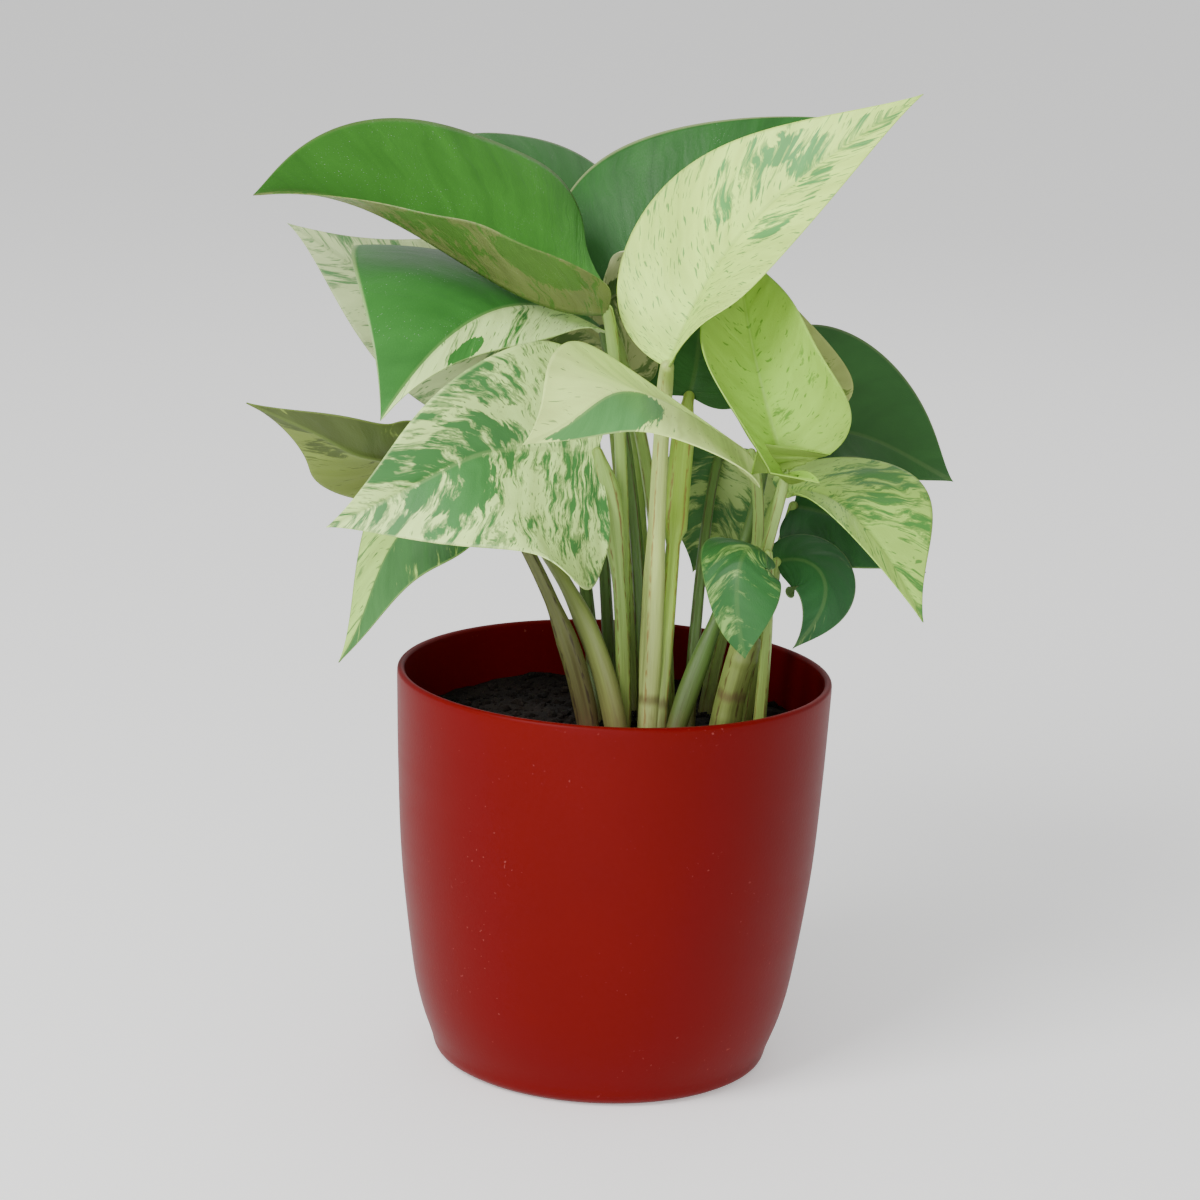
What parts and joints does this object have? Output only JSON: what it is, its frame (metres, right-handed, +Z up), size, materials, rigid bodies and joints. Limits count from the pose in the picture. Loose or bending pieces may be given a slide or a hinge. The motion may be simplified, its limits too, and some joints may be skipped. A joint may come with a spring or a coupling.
{
  "type": "potted pothos plant",
  "caption": "Variegated trailing houseplant with arching heart-shaped leaves on upright stalks, growing in a plain round tapered plastic pot.",
  "frame": {"origin": "centre of the pot's flat underside", "axes": "+Z up; +Y points away from the viewer of the plant's best side; +X to that viewer's right"},
  "size_m": [0.1892, 0.16, 0.261],
  "materials": {
    "pot_red": "satin red",
    "soil": "loose dark potting soil",
    "stem": "pale green-brown living stem",
    "leaf_green": "glossy bright green leaf",
    "leaf_dark": "glossy dark green leaf",
    "leaf_marbled": "green leaf marbled with cream",
    "leaf_pale": "cream leaf with green flecks"
  },
  "bodies": {
    "root": {"pot": "pot_red", "soil": "soil", "stem_right": "stem", "leaf_01_upper_left": "leaf_green", "leaf_02_back_left": "leaf_dark", "leaf_03_top_centre": "leaf_dark", "leaf_04_top_right": "leaf_pale", "leaf_05_mid_right": "leaf_pale", "leaf_06_far_right": "leaf_dark", "leaf_07_front_centre": "leaf_pale", "leaf_08_front_left": "leaf_marbled", "leaf_09_low_right": "leaf_pale", "leaf_10_mid_left": "leaf_green", "leaf_11_behind_left": "leaf_marbled", "leaf_12_inner": "leaf_dark", "leaf_13_far_left": "leaf_dark", "leaf_14_low_left": "leaf_marbled", "leaf_15_small_curled": "leaf_green", "leaf_16_small_drooping": "leaf_dark", "leaf_17_dark_low_right": "leaf_dark", "leaf_18_inner_low": "leaf_dark", "leaf_19_inner_high": "leaf_dark", "leaf_20_behind_right": "leaf_marbled", "leaf_21_behind_upper_left": "leaf_marbled"}
  },
  "joints": []
}
